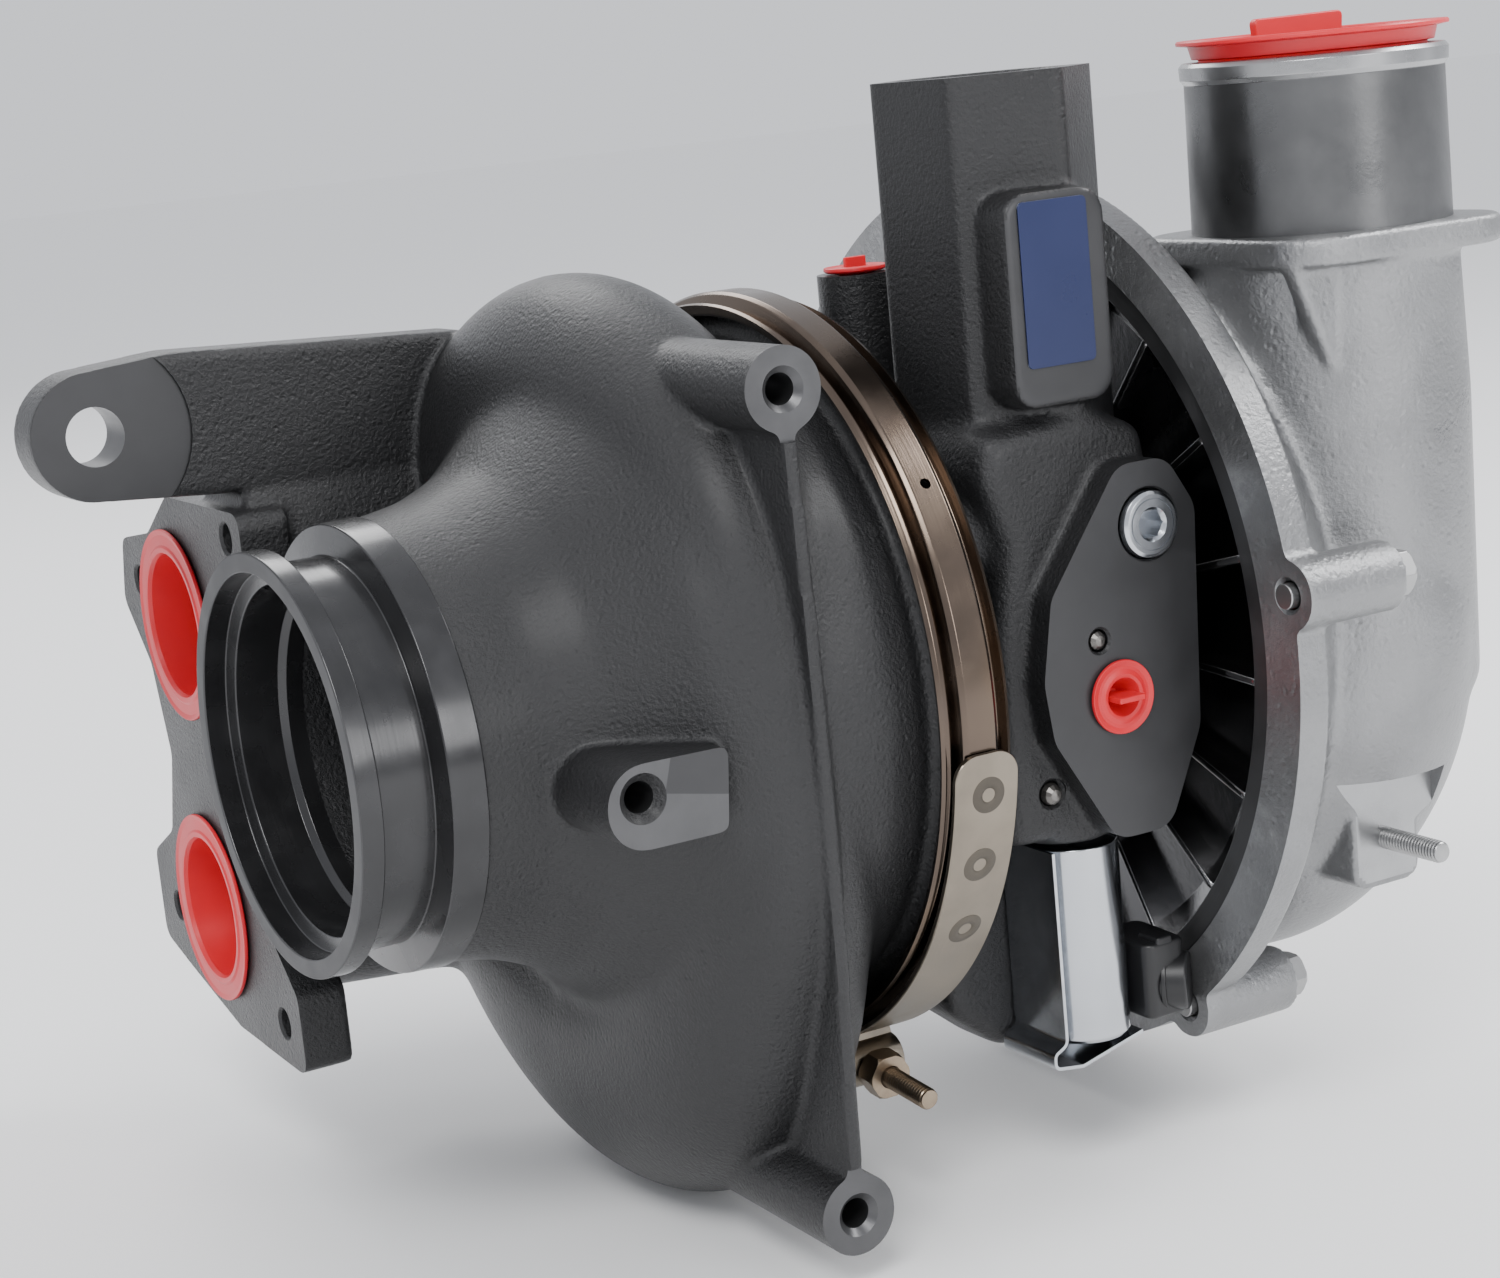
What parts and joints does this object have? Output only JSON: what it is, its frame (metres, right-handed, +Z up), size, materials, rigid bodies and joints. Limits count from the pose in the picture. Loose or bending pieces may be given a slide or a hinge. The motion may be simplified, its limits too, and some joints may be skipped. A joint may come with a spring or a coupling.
{
  "type": "turbocharger",
  "caption": "Variable-geometry turbocharger: cast turbine housing, clamp band, oil-fed centre housing with hydraulic actuator, ribbed backplate and compressor cover, ports plugged by soft caps",
  "frame": {"origin": "on the rotor's axis, 12.5 mm on the compressor side of the clamped joint", "axes": "+X along the rotor from the exhaust outlet to the compressor, +Z up along the drain tower and the compressor outlet, -Y towards the actuator's milled face"},
  "size_m": [0.388, 0.3171, 0.3095],
  "materials": {
    "cast_iron": "satin, dark charcoal coated casting",
    "cast_aluminium": "as-cast, tumbled",
    "steel": "satin",
    "tinted_steel": "heat-tinted stainless",
    "bright_steel": "zinc plated",
    "bronze": "machined",
    "wheel_alloy": "as cast",
    "black_plastic": "moulded",
    "red_plastic": "soft moulded",
    "blue_label": "printed film",
    "rubber": "matte"
  },
  "bodies": {
    "housing": {"turbine_housing": "cast_iron", "nozzle_ring": "steel", "heat_shield": "steel", "centre_housing": "cast_iron", "bearing_spacer": "steel", "thrust_bearing": "bronze", "seal_ring_turbine": "steel", "backplate": "cast_iron", "compressor_cover": "cast_aluminium", "v_band": "tinted_steel", "clamp_strap_front": "steel", "clamp_strap_rear": "steel", "clamp_trunnion": "steel", "clamp_t_bolt": "tinted_steel", "clamp_nut": "tinted_steel", "hex_socket_plug": "bright_steel", "ball_plug_upper": "steel", "ball_plug_lower": "steel", "solenoid_can": "bright_steel", "solenoid_connector": "black_plastic", "solenoid_bracket": "steel", "mounting_stud": "steel", "label_plate": "blue_label", "backplate_seal": "rubber", "seal_ring_compressor": "steel", "cover_bolt_1": "steel", "cover_bolt_2": "steel", "cover_bolt_3": "steel", "cover_bolt_4": "steel", "cover_bolt_5": "steel", "cover_bolt_6": "steel", "backplate_bolt_1": "steel", "backplate_bolt_2": "steel", "backplate_bolt_3": "steel"},
    "rotor": {"turbine_wheel": "wheel_alloy", "thrust_collar": "steel", "compressor_wheel": "cast_aluminium", "compressor_nut": "steel"},
    "bearing_turbine": {"journal_bearing_turbine": "bronze"},
    "bearing_compressor": {"journal_bearing_compressor": "bronze"},
    "control_ring": {"unison_ring": "steel"},
    "crank": {"crank_shaft": "steel"},
    "piston": {"actuator_piston": "steel"},
    "spool": {"solenoid_spool": "steel"},
    "inlet_cap_upper": {"turbine_inlet_cap_upper": "red_plastic"},
    "inlet_cap_lower": {"turbine_inlet_cap_lower": "red_plastic"},
    "outlet_cap": {"compressor_outlet_cap": "red_plastic"},
    "oil_cap": {"oil_inlet_cap": "red_plastic"},
    "sensor_cap": {"sensor_port_cap": "red_plastic"},
    "vane_01": {"nozzle_vane_01": "wheel_alloy"},
    "vane_02": {"nozzle_vane_02": "wheel_alloy"},
    "vane_03": {"nozzle_vane_03": "wheel_alloy"},
    "vane_04": {"nozzle_vane_04": "wheel_alloy"},
    "vane_05": {"nozzle_vane_05": "wheel_alloy"},
    "vane_06": {"nozzle_vane_06": "wheel_alloy"},
    "vane_07": {"nozzle_vane_07": "wheel_alloy"},
    "vane_08": {"nozzle_vane_08": "wheel_alloy"},
    "vane_09": {"nozzle_vane_09": "wheel_alloy"},
    "vane_10": {"nozzle_vane_10": "wheel_alloy"},
    "vane_11": {"nozzle_vane_11": "wheel_alloy"}
  },
  "joints": [
    {"name": "rotor_spin", "type": "hinge", "parent": "housing", "child": "rotor", "pos_m": [0, 0, 0], "axis": [1, 0, 0], "continuous": true},
    {"name": "turbine_bearing_float", "type": "hinge", "parent": "housing", "child": "bearing_turbine", "pos_m": [0.0137, 0, 0], "axis": [1, 0, 0], "continuous": true},
    {"name": "compressor_bearing_float", "type": "hinge", "parent": "housing", "child": "bearing_compressor", "pos_m": [0.0423, 0, 0], "axis": [1, 0, 0], "continuous": true},
    {"name": "ring_turn", "type": "hinge", "parent": "housing", "child": "control_ring", "pos_m": [-0.02, 0, 0], "axis": [1, 0, 0], "range_deg": [-3, 3]},
    {"name": "vane_01_swing", "type": "hinge", "parent": "housing", "child": "vane_01", "pos_m": [-0.028, 0.051, 0], "axis": [1, 0, 0], "range_deg": [-26, 26]},
    {"name": "vane_02_swing", "type": "hinge", "parent": "housing", "child": "vane_02", "pos_m": [-0.028, 0.0429, 0.02757], "axis": [1, 0, 0], "range_deg": [-26, 26]},
    {"name": "vane_03_swing", "type": "hinge", "parent": "housing", "child": "vane_03", "pos_m": [-0.028, 0.02119, 0.04639], "axis": [1, 0, 0], "range_deg": [-26, 26]},
    {"name": "vane_04_swing", "type": "hinge", "parent": "housing", "child": "vane_04", "pos_m": [-0.028, -0.00726, 0.05048], "axis": [1, 0, 0], "range_deg": [-26, 26]},
    {"name": "vane_05_swing", "type": "hinge", "parent": "housing", "child": "vane_05", "pos_m": [-0.028, -0.0334, 0.03854], "axis": [1, 0, 0], "range_deg": [-26, 26]},
    {"name": "vane_06_swing", "type": "hinge", "parent": "housing", "child": "vane_06", "pos_m": [-0.028, -0.04893, 0.01437], "axis": [1, 0, 0], "range_deg": [-26, 26]},
    {"name": "vane_07_swing", "type": "hinge", "parent": "housing", "child": "vane_07", "pos_m": [-0.028, -0.04893, -0.01437], "axis": [1, 0, 0], "range_deg": [-26, 26]},
    {"name": "vane_08_swing", "type": "hinge", "parent": "housing", "child": "vane_08", "pos_m": [-0.028, -0.0334, -0.03854], "axis": [1, 0, 0], "range_deg": [-26, 26]},
    {"name": "vane_09_swing", "type": "hinge", "parent": "housing", "child": "vane_09", "pos_m": [-0.028, -0.00726, -0.05048], "axis": [1, 0, 0], "range_deg": [-26, 26]},
    {"name": "vane_10_swing", "type": "hinge", "parent": "housing", "child": "vane_10", "pos_m": [-0.028, 0.02119, -0.04639], "axis": [1, 0, 0], "range_deg": [-26, 26]},
    {"name": "vane_11_swing", "type": "hinge", "parent": "housing", "child": "vane_11", "pos_m": [-0.028, 0.0429, -0.02757], "axis": [1, 0, 0], "range_deg": [-26, 26]},
    {"name": "crank_turn", "type": "hinge", "parent": "housing", "child": "crank", "pos_m": [0, -0.0599, -0.006], "axis": [1, 0, 0], "range_deg": [-25, 25]},
    {"name": "piston_slide", "type": "slide", "parent": "housing", "child": "piston", "axis": [0, 0, 1], "range_m": [-0.004, 0.004]},
    {"name": "spool_slide", "type": "slide", "parent": "housing", "child": "spool", "axis": [0, 0, 1], "range_m": [-0.0025, 0], "stiffness_N_per_m": 800, "springref_m": 0.001},
    {"name": "outlet_cap_pull", "type": "slide", "parent": "housing", "child": "outlet_cap", "axis": [0, 0, 1], "range_m": [0, 0.025]},
    {"name": "inlet_cap_upper_pull", "type": "slide", "parent": "housing", "child": "inlet_cap_upper", "axis": [-1, 0, 0], "range_m": [0, 0.03]},
    {"name": "inlet_cap_lower_pull", "type": "slide", "parent": "housing", "child": "inlet_cap_lower", "axis": [-1, 0, 0], "range_m": [0, 0.03]},
    {"name": "oil_cap_pull", "type": "slide", "parent": "housing", "child": "oil_cap", "axis": [0, 0, 1], "range_m": [0, 0.015]},
    {"name": "sensor_cap_pull", "type": "slide", "parent": "housing", "child": "sensor_cap", "axis": [0, -1, 0], "range_m": [0, 0.012]}
  ],
  "couplings": [
    {"joint": "vane_01_swing", "follows": "ring_turn", "ratio": 8},
    {"joint": "vane_02_swing", "follows": "ring_turn", "ratio": 8},
    {"joint": "vane_03_swing", "follows": "ring_turn", "ratio": 8},
    {"joint": "vane_04_swing", "follows": "ring_turn", "ratio": 8},
    {"joint": "vane_05_swing", "follows": "ring_turn", "ratio": 8},
    {"joint": "vane_06_swing", "follows": "ring_turn", "ratio": 8},
    {"joint": "vane_07_swing", "follows": "ring_turn", "ratio": 8},
    {"joint": "vane_08_swing", "follows": "ring_turn", "ratio": 8},
    {"joint": "vane_09_swing", "follows": "ring_turn", "ratio": 8},
    {"joint": "vane_10_swing", "follows": "ring_turn", "ratio": 8},
    {"joint": "vane_11_swing", "follows": "ring_turn", "ratio": 8},
    {"joint": "crank_turn", "follows": "ring_turn", "ratio": 7},
    {"joint": "piston_slide", "follows": "ring_turn", "m_per_rad": -0.0448}
  ]
}
